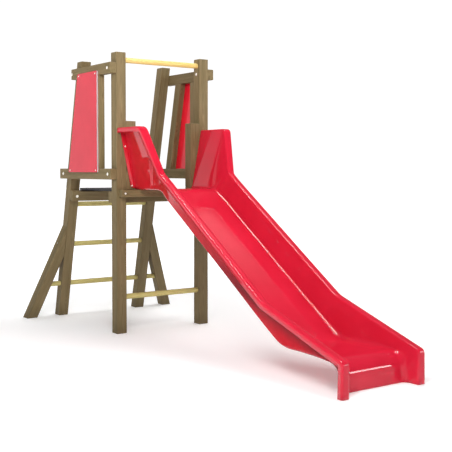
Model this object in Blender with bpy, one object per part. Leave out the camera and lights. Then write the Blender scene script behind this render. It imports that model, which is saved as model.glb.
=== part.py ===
"""Timber play tower with a straight moulded slide, a ladder and two side panels.

The tower stands on two upright front posts and two rear posts that lean forward.
The slide runs forward, towards -Y, and its open end rests on the ground.
+Z is up, X = 0 is the plane of symmetry, and the origin lies on the ground in the
middle of the footprint.  Everything is in metres.
"""
import math

import bmesh
import bpy
from mathutils import Matrix, Vector

# ---------------------------------------------------------------- driving dimensions
GAP = 0.0003                      # clearance between pieces that touch
POST = 0.100                      # side of a square post
RAIL_DEPTH = 0.0625               # thickness of a rail, slat or cross beam
RAIL_HEIGHT = 0.100
TOWER_HALF = 0.500                # centre to the outer face of a post
FRONT_POST_TOP = 2.565
REAR_POST_TOP = 2.546
REAR_SETBACK = 1.2605             # front face of the front posts to that of the rear posts, at the ground
LEAN = math.radians(12.58)        # forward lean of the rear posts
PROP_SPLAY = math.radians(20.4)   # sideways splay of the prop legs
PROP_JOIN_Z = 0.9227              # height where a prop's outer edge meets its post

DECK_TOP = 1.320
DECK_THICK = 0.020
DECK_REAR = 0.962                 # distance of the rear edge behind the front faces
TOP_RAIL_TOP = 2.471
TOP_RAIL_LENGTH = 0.798
LOWER_RAIL_TOP = 1.513
LOWER_RAIL_LENGTH = 1.073
SLAT_FRONT = 0.225                # front face of the front slat
REAR_SLAT_OFFSET = 0.234          # rear slat's front face ahead of the rear post's
PANEL_THICK = 0.019
PANEL_FRONT = 0.230
PANEL_REAR_AT_TOP = 0.624
PANEL_BOTTOM = 1.478
PANEL_TOP = 2.410
SLIDE_POST_TOP = 1.947
SLIDE_BEAM_HALF = 0.476
SLIDE_BEAM_DEPTH = 0.060
SLIDE_BEAM_HEIGHT = 0.067

BAR_RADIUS = 0.025
BAR_SIDES = 24
SOCKET = 0.045                    # depth of a blind socket for a bar
TOP_BAR_Z = 2.500
LOW_BAR_Z = 0.333
RUNG_Z = {"bottom": 0.337, "middle": 0.746, "top": 1.155}

BOLT_RADIUS = 0.005
CAP_RADIUS = 0.014
BEAM_CAP_RADIUS = 0.009
CAP_HEIGHT = 0.006
SCREW_RADIUS = 0.0025
SCREW_HEAD_RADIUS = 0.007
SCREW_HEAD_HEIGHT = 0.003
PANEL_SCREW_LENGTH = 0.055
SLIDE_SCREW_LENGTH = 0.045
DECK_SCREW_LENGTH = 0.060
PROP_SCREW_LENGTH = 0.120
RAIL_BOLT_Y = 0.055               # the front rail bolts behind the front faces
REAR_BOLT_SHIFT = 0.010           # the rear rail bolts behind the rear posts' centre line
SLIDE_BOLT_X = 0.442
REAR_BOLT_X = 0.449
DECK_SCREW_X = 0.330
PROP_SCREW_Z = 0.760
PANEL_SCREWS = (("top_front", "top", 0.258, 2.386), ("top_rear", "top", 0.600, 2.386),
                ("low_front", "lower", 0.256, 1.497), ("low_rear", "lower", 0.800, 1.497))
SLIDE_SCREWS = (("high", "front_post_", 0.416, 1.714), ("low", "slide_post_", 0.346, 1.356))

SHELL = 0.010                     # thickness of the slide's moulding
SLIDE_REACH = 2.881               # front faces of the posts to the slide's front edge
RIM_SLOPE = math.radians(33.2)
RUNOUT_SLOPE = math.radians(18.22)
WING_SLOPE = math.radians(65.8)
ENTRY_Z = DECK_TOP + SHELL + 4 * GAP
WING_TOP = 1.883
RIM_KINK = (-2.012, 0.532)        # where the rim leaves its steep slope
BED_DEPTH = 0.204                 # rim to bed, square to the slope
BED_RUNOUT_Z = 0.215
APRON_Y = -2.758
RIM_HALF = 0.328                  # centre to the rim's inner edge
FLANGE = 0.065
LIP = 0.046
BED_FILLET = 0.022
RUNOUT_FILLET = 0.050              # between the bed, the walls and the apron at the exit
NOSE_RADIUS = 0.130
WING_FLARE = 0.187                # outward lean of the wings, per metre of height

# ---------------------------------------------------------------- placing
REAR_REACH = REAR_SETBACK + POST / math.cos(LEAN)
FRONT_Y = (SLIDE_REACH - REAR_REACH) / 2     # the front posts' front faces
LEAN_RISE = math.tan(LEAN)
SIDES = (("left", -1), ("right", 1))


def rear_face(z):
    """Distance from the front faces to the rear posts' front faces at height z."""
    return REAR_SETBACK - z * LEAN_RISE


def lean_centre(z):
    """Distance from the front faces to the rear posts' centre line at height z."""
    return rear_face(z) + POST / 2 / math.cos(LEAN)


def prop_edge(z):
    """Half-width over the prop legs' outer faces at height z, in the middle of their thickness."""
    return TOWER_HALF + (PROP_JOIN_Z + POST / 2 * math.sin(LEAN) - z) * math.tan(PROP_SPLAY)


# ---------------------------------------------------------------- scene and materials
for old in list(bpy.data.objects):
    bpy.data.objects.remove(old)


def material(name, colour, roughness, metallic=0.0):
    made = bpy.data.materials.new(name)
    made.use_nodes = True
    shader = made.node_tree.nodes["Principled BSDF"]
    shader.inputs["Base Color"].default_value = (*colour, 1.0)
    shader.inputs["Roughness"].default_value = roughness
    shader.inputs["Metallic"].default_value = metallic
    made.diffuse_color = (*colour, 1.0)
    return made


TIMBER = material("impregnated_pine", (0.24, 0.17, 0.09), 0.75)
BAR_WOOD = material("pale_round_bar", (0.66, 0.55, 0.24), 0.6)
PANEL = material("red_panel", (0.80, 0.06, 0.10), 0.45)
MOULDING = material("red_moulding", (0.80, 0.01, 0.04), 0.2)
DECKING = material("dark_deck", (0.03, 0.03, 0.035), 0.7)
CAP = material("pale_cap", (0.80, 0.78, 0.74), 0.4)
STEEL = material("zinc_steel", (0.60, 0.60, 0.60), 0.35, 1.0)


# ---------------------------------------------------------------- solids
def place(name, mesh, finish):
    """Put a bmesh in the scene as one named object."""
    bmesh.ops.recalc_face_normals(mesh, faces=mesh.faces)
    data = bpy.data.meshes.new(name)
    mesh.to_mesh(data)
    mesh.free()
    data.materials.append(finish)
    made = bpy.data.objects.new(name, data)
    bpy.context.scene.collection.objects.link(made)
    return made


def behind(y):
    """World Y of a point at distance y behind the posts' front faces."""
    return FRONT_Y + y


def block(low, high):
    """A rectangular block between two corners, y measured from the front faces."""
    mesh = bmesh.new()
    size = [b - a for a, b in zip(low, high)]
    middle = [(a + b) / 2 for a, b in zip(low, high)]
    middle[1] = behind(middle[1])
    bmesh.ops.create_cube(mesh, size=1.0, matrix=Matrix.Translation(middle) @ Matrix.Diagonal((*size, 1.0)))
    return mesh


def mirrored(low, high, side):
    """The two corners of a block moved to the left or right side."""
    if side > 0:
        return low, high
    return (-high[0], *low[1:]), (-low[0], *high[1:])


def prism(outline, along):
    """Extrude a closed outline of 3-D points by the vector along."""
    mesh = bmesh.new()
    face = mesh.faces.new([mesh.verts.new(point) for point in outline])
    grown = bmesh.ops.extrude_face_region(mesh, geom=[face])
    moved = [item for item in grown["geom"] if isinstance(item, bmesh.types.BMVert)]
    bmesh.ops.translate(mesh, verts=moved, vec=along)
    return mesh


def trim(mesh, point, normal):
    """Cut away what lies beyond a plane and close the cut."""
    everything = mesh.verts[:] + mesh.edges[:] + mesh.faces[:]
    cut = bmesh.ops.bisect_plane(mesh, geom=everything, plane_co=point, plane_no=normal, clear_outer=True)
    rim = [item for item in cut["geom_cut"] if isinstance(item, bmesh.types.BMEdge)]
    bmesh.ops.edgeloop_fill(mesh, edges=rim)
    return mesh


def cylinder(mesh, start, end, radius, sides):
    """Add a closed round bar from start to end."""
    axis = Vector(end) - Vector(start)
    turn = axis.to_track_quat("Z", "Y").to_matrix().to_4x4()
    spot = Matrix.Translation((Vector(start) + Vector(end)) / 2) @ turn
    bmesh.ops.create_cone(mesh, cap_ends=True, segments=sides, radius1=radius, radius2=radius,
                          depth=axis.length, matrix=spot)


bores = {}


def bore(target, start, end, radius, sides):
    """Note a round hole to be cut in the named piece."""
    bores.setdefault(target, []).append((start, end, radius, sides))


def cut_bores():
    """Cut all the noted holes, with one cutter for each piece."""
    for target, holes in bores.items():
        mesh = bmesh.new()
        for start, end, radius, sides in holes:
            cylinder(mesh, start, end, radius, sides)
        cutter = place("cut_" + target, mesh, STEEL)
        cutter.hide_render = True
        cutter.display_type = "WIRE"
        piece = bpy.data.objects[target]
        holes_cut = piece.modifiers.new("bores", "BOOLEAN")
        holes_cut.operation = "DIFFERENCE"
        holes_cut.solver = "EXACT"
        holes_cut.object = cutter


# ---------------------------------------------------------------- posts and props
def leaning_timber(low_x, high_x, ahead, depth, bottom, top):
    """A timber parallel to the rear posts, its front face `ahead` of theirs, cut level at both ends."""
    spare = 0.2
    along = Vector((0.0, -math.sin(LEAN), math.cos(LEAN)))
    back = Vector((0.0, math.cos(LEAN), math.sin(LEAN)))
    foot = Vector((0.0, behind(REAR_SETBACK - ahead), 0.0)) + along * (bottom / math.cos(LEAN) - spare)
    corners = [foot + Vector((x, 0.0, 0.0)) + back * out for x, out in
               ((low_x, 0.0), (high_x, 0.0), (high_x, depth), (low_x, depth))]
    mesh = prism(corners, along * ((top - bottom) / math.cos(LEAN) + 2 * spare))
    trim(mesh, (0.0, 0.0, bottom), (0.0, 0.0, -1.0))
    trim(mesh, (0.0, 0.0, top), (0.0, 0.0, 1.0))
    return mesh


def prop_leg(side):
    """A leg in the plane of the rear posts, splayed outwards and mitred against its post."""
    along = Vector((0.0, -math.sin(LEAN), math.cos(LEAN)))
    back = Vector((0.0, math.cos(LEAN), math.sin(LEAN)))
    foot = Vector((0.0, behind(REAR_SETBACK), 0.0))
    rise = math.tan(PROP_SPLAY)
    width = POST / math.cos(PROP_SPLAY)

    def outer_x(z):
        return TOWER_HALF + (PROP_JOIN_Z - z) * rise

    ends = (-0.2, PROP_JOIN_Z + 0.3)
    outline = []
    for z, inset in ((ends[0], 0.0), (ends[1], 0.0), (ends[1], width), (ends[0], width)):
        outline.append(foot + along * (z / math.cos(LEAN)) + Vector((side * (outer_x(z) - inset), 0.0, 0.0)))
    mesh = prism(outline, back * POST)
    trim(mesh, (0.0, 0.0, 0.0), (0.0, 0.0, -1.0))
    trim(mesh, (side * (TOWER_HALF + GAP), 0.0, 0.0), (-side, 0.0, 0.0))
    return mesh


def make_posts():
    inner = TOWER_HALF - POST
    for name, side in SIDES:
        low, high = mirrored((inner, 0.0, 0.0), (TOWER_HALF, POST, FRONT_POST_TOP), side)
        place("front_post_" + name, block(low, high), TIMBER)
        edges = sorted((side * inner, side * TOWER_HALF))
        place("rear_post_" + name, leaning_timber(*edges, 0.0, POST, 0.0, REAR_POST_TOP), TIMBER)
        place("prop_leg_" + name, prop_leg(side), TIMBER)
        reach = inner - GAP
        low, high = mirrored((reach - POST, 0.0, DECK_TOP + GAP), (reach, POST, SLIDE_POST_TOP), side)
        place("slide_post_" + name, block(low, high), TIMBER)


# ---------------------------------------------------------------- rails, slats and panels
def panel(side):
    """The infill panel: upright front edge, rear edge parallel to the rear posts, eased corners."""
    inside = TOWER_HALF + GAP + RAIL_DEPTH + GAP
    rear_at_bottom = PANEL_REAR_AT_TOP + (PANEL_TOP - PANEL_BOTTOM) * LEAN_RISE
    corners = ((PANEL_FRONT, PANEL_BOTTOM, 0.006), (rear_at_bottom, PANEL_BOTTOM, 0.010),
               (PANEL_REAR_AT_TOP, PANEL_TOP, 0.022), (PANEL_FRONT, PANEL_TOP, 0.006))
    outline = []
    for index, (y, z, radius) in enumerate(corners):
        before = Vector((0.0, *corners[index - 1][:2]))
        after = Vector((0.0, *corners[(index + 1) % len(corners)][:2]))
        outline += rounded(before, Vector((0.0, y, z)), after, radius, 4)
    points = [Vector((side * inside, behind(point.y), point.z)) for point in outline]
    return prism(points, Vector((side * PANEL_THICK, 0.0, 0.0)))


def make_sides():
    near = TOWER_HALF + GAP
    far = near + RAIL_DEPTH
    for name, side in SIDES:
        for level, top, length in (("top", TOP_RAIL_TOP, TOP_RAIL_LENGTH),
                                   ("lower", LOWER_RAIL_TOP, LOWER_RAIL_LENGTH)):
            low, high = mirrored((near, 0.0, top - RAIL_HEIGHT), (far, length, top), side)
            place(f"{level}_rail_{name}", block(low, high), TIMBER)
        bottom = LOWER_RAIL_TOP + GAP
        top = TOP_RAIL_TOP - RAIL_HEIGHT - GAP
        low, high = mirrored((near, SLAT_FRONT, bottom), (far, SLAT_FRONT + POST, top), side)
        place("front_slat_" + name, block(low, high), TIMBER)
        edges = sorted((side * near, side * far))
        place("rear_slat_" + name, leaning_timber(*edges, REAR_SLAT_OFFSET, POST, bottom, top), TIMBER)
        place("side_panel_" + name, panel(side), PANEL)


# ---------------------------------------------------------------- deck and cross beams
def rear_beam():
    """Cross beam bolted flat on the leaning faces of the rear posts, just under the deck."""
    top_edge = DECK_TOP - DECK_THICK - GAP
    along = Vector((0.0, -math.sin(LEAN), math.cos(LEAN)))
    ahead = Vector((0.0, -math.cos(LEAN), -math.sin(LEAN)))
    corner = Vector((0.0, behind(rear_face(top_edge)), top_edge)) + ahead * GAP
    outline = []
    for down, out in ((0.0, 0.0), (RAIL_HEIGHT, 0.0), (RAIL_HEIGHT, RAIL_DEPTH), (0.0, RAIL_DEPTH)):
        outline.append(corner - along * down + ahead * out + Vector((-TOWER_HALF, 0.0, 0.0)))
    return prism(outline, Vector((2 * TOWER_HALF, 0.0, 0.0)))


def make_deck():
    top = DECK_TOP - DECK_THICK - GAP
    inner = TOWER_HALF - POST - GAP
    place("deck", block((-inner, GAP, DECK_TOP - DECK_THICK), (inner, DECK_REAR, DECK_TOP)), DECKING)
    low = (-TOWER_HALF, POST + GAP, top - RAIL_HEIGHT)
    place("front_cross_beam", block(low, (TOWER_HALF, POST + GAP + RAIL_DEPTH, top)), TIMBER)
    place("rear_cross_beam", rear_beam(), TIMBER)
    low = (-SLIDE_BEAM_HALF, -GAP - SLIDE_BEAM_DEPTH, DECK_TOP - SLIDE_BEAM_HEIGHT)
    place("slide_support_beam", block(low, (SLIDE_BEAM_HALF, -GAP, DECK_TOP)), TIMBER)


# ---------------------------------------------------------------- round bars
def bar(name, half, y, z, targets):
    """A round bar across the tower, with a socket or a through hole in each piece it meets."""
    mesh = bmesh.new()
    middle = behind(y)
    cylinder(mesh, (-half, middle, z), (half, middle, z), BAR_RADIUS, BAR_SIDES)
    place(name, mesh, BAR_WOOD)
    reach = half + GAP
    for target in targets:
        bore(target, (-reach, middle, z), (reach, middle, z), BAR_RADIUS + GAP, BAR_SIDES)


def make_bars():
    inner = TOWER_HALF - POST
    fronts = ("front_post_left", "front_post_right")
    rears = ("rear_post_left", "rear_post_right")
    bar("top_bar", inner + SOCKET, POST / 2, TOP_BAR_Z, fronts)
    bar("low_front_bar", inner + SOCKET, POST / 2, LOW_BAR_Z, fronts)
    for level in ("middle", "top"):
        z = RUNG_Z[level]
        bar("ladder_rung_" + level, inner + SOCKET, lean_centre(z), z, rears)
    z = RUNG_Z["bottom"]
    prop_inner = prop_edge(z) - POST / math.cos(PROP_SPLAY)
    props = ("prop_leg_left", "prop_leg_right")
    bar("ladder_rung_bottom", prop_inner + SOCKET, lean_centre(z), z, rears + props)


# ---------------------------------------------------------------- curves
def arc(start, corner, end, count):
    """Points of the circular arc that starts and ends at two points and leaves them towards corner."""
    turn = (corner - start).angle(end - corner, 0.0)
    weight = math.cos(turn / 2)
    points = []
    for index in range(count):
        t = index / (count - 1)
        parts = ((1 - t) ** 2, 2 * weight * t * (1 - t), t ** 2)
        points.append((start * parts[0] + corner * parts[1] + end * parts[2]) / sum(parts))
    return points


def rounded(before, corner, after, radius, count):
    """Replace a corner by an arc of the given radius."""
    to_before = (before - corner).normalized()
    to_after = (after - corner).normalized()
    turn = math.pi - to_before.angle(to_after)
    reach = radius * math.tan(turn / 2)
    return arc(corner + to_before * reach, corner, corner + to_after * reach, count)


def path(start, corners, end, legs, count):
    """A line through rounded corners, each a (y, z, reach), with `legs` points along each straight."""
    points = [Vector((0.0, *start))]
    stops = [Vector((0.0, *start))] + [Vector((0.0, y, z)) for y, z, _ in corners] + [Vector((0.0, *end))]
    for index, (_, _, reach) in enumerate(corners):
        corner = stops[index + 1]
        first = corner + (stops[index] - corner).normalized() * reach
        last = corner + (stops[index + 2] - corner).normalized() * reach
        points += [points[-1].lerp(first, (n + 1) / (legs[index] + 1)) for n in range(legs[index])]
        points += arc(first, corner, last, count)
    points += [points[-1].lerp(stops[-1], (n + 1) / (legs[-1] + 1)) for n in range(legs[-1] + 1)]
    return points


# ---------------------------------------------------------------- slide
def meet(point_a, slope_a, point_b, slope_b):
    """Where two lines in the YZ plane cross; a slope is an angle, falling towards -Y."""
    rise_a = math.tan(slope_a)
    rise_b = math.tan(slope_b)
    y = (point_b[1] - point_a[1] + rise_a * point_a[0] - rise_b * point_b[0]) / (rise_a - rise_b)
    return y, point_a[1] + rise_a * (y - point_a[0])


def beside(point, slope, distance):
    """A point moved square to a slope, down and back."""
    return point[0] + distance * math.sin(slope), point[1] - distance * math.cos(slope)


SLIDE_LEGS = (1, 2, 5, 4, 1)
SLIDE_ARC = 4
FOOT_Z = 2 * GAP                  # the moulding's lower edge, clear of the ground
WING_EDGE = (-0.562, 1.506)       # a point on the wing's steep front edge


def rim_path(drop, corner_reach):
    """Side view of the rim, moved square to itself by `drop` for the edge of the turned-down lip."""
    top = WING_TOP - drop
    front = -SLIDE_REACH + drop
    wing = beside(WING_EDGE, WING_SLOPE, drop)
    steep = beside(RIM_KINK, RIM_SLOPE, drop)
    shallow = beside(RIM_KINK, RUNOUT_SLOPE, drop)
    level_cut = ((top - wing[1]) / math.tan(WING_SLOPE) + wing[0], top)
    exit_cut = (front, shallow[1] + (front - shallow[0]) * math.tan(RUNOUT_SLOPE))
    corners = ((*level_cut, corner_reach[0]),
               (*meet(wing, WING_SLOPE, steep, RIM_SLOPE), corner_reach[1]),
               (*meet(steep, RIM_SLOPE, shallow, RUNOUT_SLOPE), corner_reach[2]),
               (*exit_cut, corner_reach[3]))
    return path((-GAP, top), corners, (front, FOOT_Z), SLIDE_LEGS, SLIDE_ARC)


def bed_path():
    """Side view of the bed: level entry, steep run, level run-out, rounded nose and apron."""
    steep = beside(RIM_KINK, RIM_SLOPE, BED_DEPTH)
    rise = math.tan(RIM_SLOPE)
    entry = ((ENTRY_Z - steep[1]) / rise + steep[0], ENTRY_Z, 0.060)
    foot = ((BED_RUNOUT_Z - steep[1]) / rise + steep[0], BED_RUNOUT_Z, 0.075)
    corners = ((-0.270, ENTRY_Z, 0.030), entry, foot, (APRON_Y, BED_RUNOUT_Z, NOSE_RADIUS))
    return path((-GAP, ENTRY_Z), corners, (APRON_Y, FOOT_Z), SLIDE_LEGS, SLIDE_ARC)


def rim_half(z):
    """Half the width between the rims: the wings lean outwards above the chute."""
    flare = max(0.0, z - 1.433) * WING_FLARE
    foot = max(0.0, 0.250 - z) * 0.016
    return RIM_HALF + flare - foot


def flange_width(z):
    """Width of the rim, which grows up the wings and down the front feet."""
    return FLANGE + max(0.0, z - 1.463) * 0.033 + max(0.0, 0.250 - z) * 0.036


def bed_half(point, rim):
    """Half the width of the bed: the walls keep one draft as their height changes."""
    if point.y > -0.5 and point.z > 1.0:
        return RIM_HALF - 0.036 + 0.016 * (1 + point.y / 0.45)
    height = max(0.0, rim.z - point.z)
    return rim_half(rim.z) - 0.15 * min(height, 0.240)


def section(bed, rim, lip, steps):
    """Half of a cross-section, from the middle of the bed to the edge of the lip."""
    half = rim_half(rim.z)
    outer = half + flange_width(rim.z)
    share = min(1.0, max(0.0, (-1.90 - bed.y) / 0.25))
    fillet = BED_FILLET + (RUNOUT_FILLET - BED_FILLET) * share
    middle = Vector((0.0, bed.y, bed.z))
    corner = Vector((bed_half(bed, rim), bed.y, bed.z))
    inner_edge = Vector((half, rim.y, rim.z))
    outer_edge = Vector((outer, rim.y, rim.z))
    end = Vector((outer, lip.y, lip.z))
    points = [middle, middle.lerp(corner, 0.5)]
    points += rounded(middle, corner, inner_edge, fillet, steps[0])
    points += rounded(corner, inner_edge, outer_edge, 0.015 + 0.004 * share, steps[1])
    points += rounded(inner_edge, outer_edge, end, 0.013, steps[2])
    return points + [end]


def back_flange(row, steps):
    """Turn the rear edge of the walls outwards, flat against the posts."""
    bed_points = 2
    wall_end = bed_points + steps[0]
    widths = []
    for index, point in enumerate(row):
        if index < bed_points:
            width = 0.0
        elif index < wall_end:
            width = 0.046 * (index - bed_points) / (steps[0] - 1)
        elif index < wall_end + steps[1]:
            width = 0.056 * (1 - (index - wall_end) / (steps[1] - 1))
        else:
            width = 0.0
        widths.append(width)
    rows = []
    for share, y in ((0.0, -0.014), (0.06, -0.0045), (0.22, -2 * GAP), (1.0, -GAP)):
        rows.append([Vector((p.x + share * w, y, p.z)) for p, w in zip(row, widths)])
    return rows[::-1]


def slide_rows():
    steps = (5, 4, 3)
    bed = bed_path()
    rim = rim_path(0.0, (0.042, 0.018, 0.034, 0.029))
    lip = rim_path(LIP, (0.012, 0.030, 0.034, 0.010))
    rows = [section(b, r, e, steps) for b, r, e in zip(bed, rim, lip)]
    return back_flange(rows[0], steps) + rows[1:]


def make_slide():
    """The one-piece moulding, modelled as its upper surface and thickened."""
    mesh = bmesh.new()
    grid = []
    for row in slide_rows():
        whole = [Vector((-p.x, p.y, p.z)) for p in row[:0:-1]] + row
        grid.append([mesh.verts.new((p.x, behind(p.y), p.z)) for p in whole])
    for near, far in zip(grid, grid[1:]):
        for index in range(len(near) - 1):
            mesh.faces.new((near[index], far[index], far[index + 1], near[index + 1]))
    data = bpy.data.meshes.new("slide")
    mesh.to_mesh(data)
    mesh.free()
    data.materials.append(MOULDING)
    made = bpy.data.objects.new("slide", data)
    bpy.context.scene.collection.objects.link(made)
    thicken = made.modifiers.new("shell", "SOLIDIFY")
    thicken.thickness = SHELL
    thicken.offset = -1.0
    thicken.use_even_offset = True
    return made


# ---------------------------------------------------------------- fasteners
def turned(mesh, base, axis, profile, sides):
    """Add a closed turned solid; the profile lists (radius, height) from its base upwards."""
    turn = Vector(axis).to_track_quat("Z", "Y").to_matrix()
    rings = []
    for radius, height in profile:
        ring = []
        for index in range(sides):
            angle = 2 * math.pi * index / sides
            spot = Vector((radius * math.cos(angle), radius * math.sin(angle), height))
            ring.append(mesh.verts.new(Vector(base) + turn @ spot))
        rings.append(ring)
    mesh.faces.new(rings[0][::-1])
    mesh.faces.new(rings[-1])
    for lower, upper in zip(rings, rings[1:]):
        for index in range(sides):
            after = (index + 1) % sides
            mesh.faces.new((lower[index], lower[after], upper[after], upper[index]))


def bolt(name, start, end, targets, cap=CAP_RADIUS, blind=False):
    """A bolt with a domed cap on each outer face it clamps; a blind one ends inside its first piece."""
    axis = (Vector(end) - Vector(start)).normalized()
    length = (Vector(end) - Vector(start)).length
    dome = ((cap, GAP), (cap * 0.88, GAP + CAP_HEIGHT * 0.6), (cap * 0.45, GAP + CAP_HEIGHT))
    near = [] if blind else [(radius, -height) for radius, height in reversed(dome)]
    far = [(radius, length + height) for radius, height in dome]
    profile = near + [(BOLT_RADIUS, -GAP), (BOLT_RADIUS, length + GAP)] + far
    mesh = bmesh.new()
    turned(mesh, start, axis, profile, 12)
    place(name, mesh, CAP)
    spare = axis * 0.002
    for target in targets:
        bore(target, Vector(start) - spare, Vector(end) + spare, BOLT_RADIUS + GAP, 12)


def make_bolts():
    inside = TOWER_HALF - POST
    outside = TOWER_HALF + GAP + RAIL_DEPTH
    ahead = Vector((0.0, -math.cos(LEAN), -math.sin(LEAN)))
    for name, side in SIDES:
        for level, top in (("top", TOP_RAIL_TOP), ("lower", LOWER_RAIL_TOP)):
            z = top - RAIL_HEIGHT / 2
            for post, y in (("front", RAIL_BOLT_Y), ("rear", lean_centre(z) + REAR_BOLT_SHIFT)):
                reach = inside
                targets = (f"{post}_post_{name}", f"{level}_rail_{name}")
                if post == "rear":
                    reach += POST / 2
                elif level == "lower":
                    reach -= POST / 2
                    targets += ("slide_post_" + name,)
                start = (side * reach, behind(y), z)
                end = (side * outside, behind(y), z)
                bolt(f"{level}_rail_bolt_{post}_{name}", start, end, targets, blind=reach != inside)
        z = DECK_TOP - SLIDE_BEAM_HEIGHT / 2
        start = (side * SLIDE_BOLT_X, behind(-GAP - SLIDE_BEAM_DEPTH), z)
        end = (side * SLIDE_BOLT_X, behind(POST + GAP + RAIL_DEPTH), z)
        targets = ("slide_support_beam", "front_post_" + name, "front_cross_beam")
        bolt("front_beam_bolt_" + name, start, end, targets, cap=BEAM_CAP_RADIUS)
        z = DECK_TOP - DECK_THICK - GAP - RAIL_HEIGHT / 2 * math.cos(LEAN)
        face = Vector((side * REAR_BOLT_X, behind(rear_face(z)), z))
        targets = ("rear_cross_beam", "rear_post_" + name)
        bolt("rear_beam_bolt_" + name, face + ahead * (GAP + RAIL_DEPTH), face - ahead * POST, targets)


def screw(name, point, outward, length, targets, finish):
    """A domed screw whose head stands on a face and whose shank runs inwards through its targets."""
    head = SCREW_HEAD_RADIUS
    profile = ((SCREW_RADIUS, -length), (SCREW_RADIUS, GAP), (head, GAP),
               (head * 0.8, SCREW_HEAD_HEIGHT * 0.7), (head * 0.4, SCREW_HEAD_HEIGHT))
    mesh = bmesh.new()
    turned(mesh, point, outward, profile, 8)
    place(name, mesh, finish)
    start = Vector(point) + Vector(outward) * 0.001
    end = Vector(point) - Vector(outward) * (length + GAP)
    for target in targets:
        bore(target, start, end, SCREW_RADIUS + GAP, 8)


def make_screws():
    panel_face = TOWER_HALF + 2 * GAP + RAIL_DEPTH + PANEL_THICK
    for name, side in SIDES:
        for place_name, level, y, z in PANEL_SCREWS:
            point = (side * panel_face, behind(y), z)
            targets = ("side_panel_" + name, f"{level}_rail_{name}")
            screw(f"panel_screw_{place_name}_{name}", point, (side, 0.0, 0.0), PANEL_SCREW_LENGTH, targets, CAP)
        for place_name, post, x, z in SLIDE_SCREWS:
            point = (side * x, behind(-GAP - SHELL), z)
            targets = ("slide", post + name)
            screw(f"slide_screw_{place_name}_{name}", point, (0.0, -1.0, 0.0), SLIDE_SCREW_LENGTH, targets, CAP)
        up = math.tan(PROP_SPLAY) * math.cos(LEAN)
        outward = Vector((side, -up * math.sin(LEAN), up * math.cos(LEAN))).normalized()
        point = (side * prop_edge(PROP_SCREW_Z), behind(lean_centre(PROP_SCREW_Z)), PROP_SCREW_Z)
        targets = ("prop_leg_" + name, "rear_post_" + name)
        screw("prop_screw_" + name, point, outward, PROP_SCREW_LENGTH, targets, STEEL)
        for place_name, beam, y in (("front", "front_cross_beam", 0.128), ("rear", "rear_cross_beam", 0.940)):
            point = (side * DECK_SCREW_X, behind(y), DECK_TOP)
            screw(f"deck_screw_{place_name}_{name}", point, (0.0, 0.0, 1.0), DECK_SCREW_LENGTH, ("deck", beam), STEEL)


# ---------------------------------------------------------------- the whole object
make_posts()
make_sides()
make_deck()
make_bars()
make_slide()
make_bolts()
make_screws()
cut_bores()
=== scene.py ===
"""Looks of the timber play tower and its red slide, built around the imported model.

Lengths are in metres. The slide runs towards -Y from the front posts, and X = 0 is its plane of
symmetry.
"""
import itertools
import math
import random

import bmesh
import bpy
from mathutils import Matrix, Vector


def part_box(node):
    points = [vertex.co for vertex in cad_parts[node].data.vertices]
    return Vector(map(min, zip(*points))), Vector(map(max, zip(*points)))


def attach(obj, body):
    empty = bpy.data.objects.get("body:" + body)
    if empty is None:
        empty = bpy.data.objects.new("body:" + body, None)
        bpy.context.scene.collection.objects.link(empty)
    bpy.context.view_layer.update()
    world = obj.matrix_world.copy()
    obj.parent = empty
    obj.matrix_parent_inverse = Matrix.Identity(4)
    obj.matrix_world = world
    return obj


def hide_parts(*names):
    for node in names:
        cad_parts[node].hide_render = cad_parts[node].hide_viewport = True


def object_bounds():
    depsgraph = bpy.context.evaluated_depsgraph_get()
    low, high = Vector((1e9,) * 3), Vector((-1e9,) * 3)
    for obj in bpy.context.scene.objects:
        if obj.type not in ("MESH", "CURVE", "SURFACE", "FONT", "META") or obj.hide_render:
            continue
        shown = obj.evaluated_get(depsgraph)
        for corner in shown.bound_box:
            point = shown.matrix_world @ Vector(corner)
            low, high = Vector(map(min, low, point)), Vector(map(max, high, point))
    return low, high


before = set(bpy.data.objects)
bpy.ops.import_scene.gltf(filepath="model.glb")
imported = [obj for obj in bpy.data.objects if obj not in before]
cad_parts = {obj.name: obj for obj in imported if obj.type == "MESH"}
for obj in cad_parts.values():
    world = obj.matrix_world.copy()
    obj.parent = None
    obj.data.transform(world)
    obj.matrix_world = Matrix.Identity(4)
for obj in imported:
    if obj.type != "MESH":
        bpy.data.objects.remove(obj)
cad_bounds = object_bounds()
front_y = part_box("front_post_left")[0][1]

# ---------------------------------------------------------------- sizes of the tower
LEAN = math.radians(12.58)        # forward lean of the rear posts
PROP_SPLAY = math.radians(20.4)   # sideways splay of the prop legs
TIMBER_EASE = 0.0045              # radius of the timbers' eased edges
PANEL_EASE = 0.0012
DECK_EASE = 0.0015
DECK_TOP = 1.320

BAR_RADIUS = 0.025
BAR_CHAMFER = 0.003
BAR_UNEVEN = 0.0004               # the most that a turned bar is short of its radius
BAR_STEPS = 24
BAR_SIDES = 40

# ---------------------------------------------------------------- sizes of the fasteners
END_RING = 1e-4                   # how close to a fastener's end a point still counts as its end
BOLT_RADIUS = 0.005
BOLT_SIDES = 16
BOLT_INSET = 0.0062               # how far inside its cap a shank ends
CAP_ZONE = 0.007                  # length at a bolt's end that a cap takes up
CAP_LEAST = 0.006                 # a bolt's end wider than this has a cap
CAP_RADIUS = 0.014
CAP_HEIGHT = 0.006
CAP_SIDES = 32
CAP_PROFILE = ((0.0140, 0.0), (0.0140, 0.0012), (0.0136, 0.0018), (0.0126, 0.0020),
               (0.0120, 0.0024), (0.0110, 0.0038), (0.0090, 0.0051), (0.0062, 0.0058),
               (0.0030, 0.0060))
HEAD_HEIGHT = 0.003
HEAD_PROFILE = ((0.0025, 0.0), (0.0070, 0.0), (0.0069, 0.0008), (0.0062, 0.0019), (0.0048, 0.0026),
                (0.0030, 0.0029), (0.0024, 0.0029), (0.0022, 0.0014))
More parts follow.
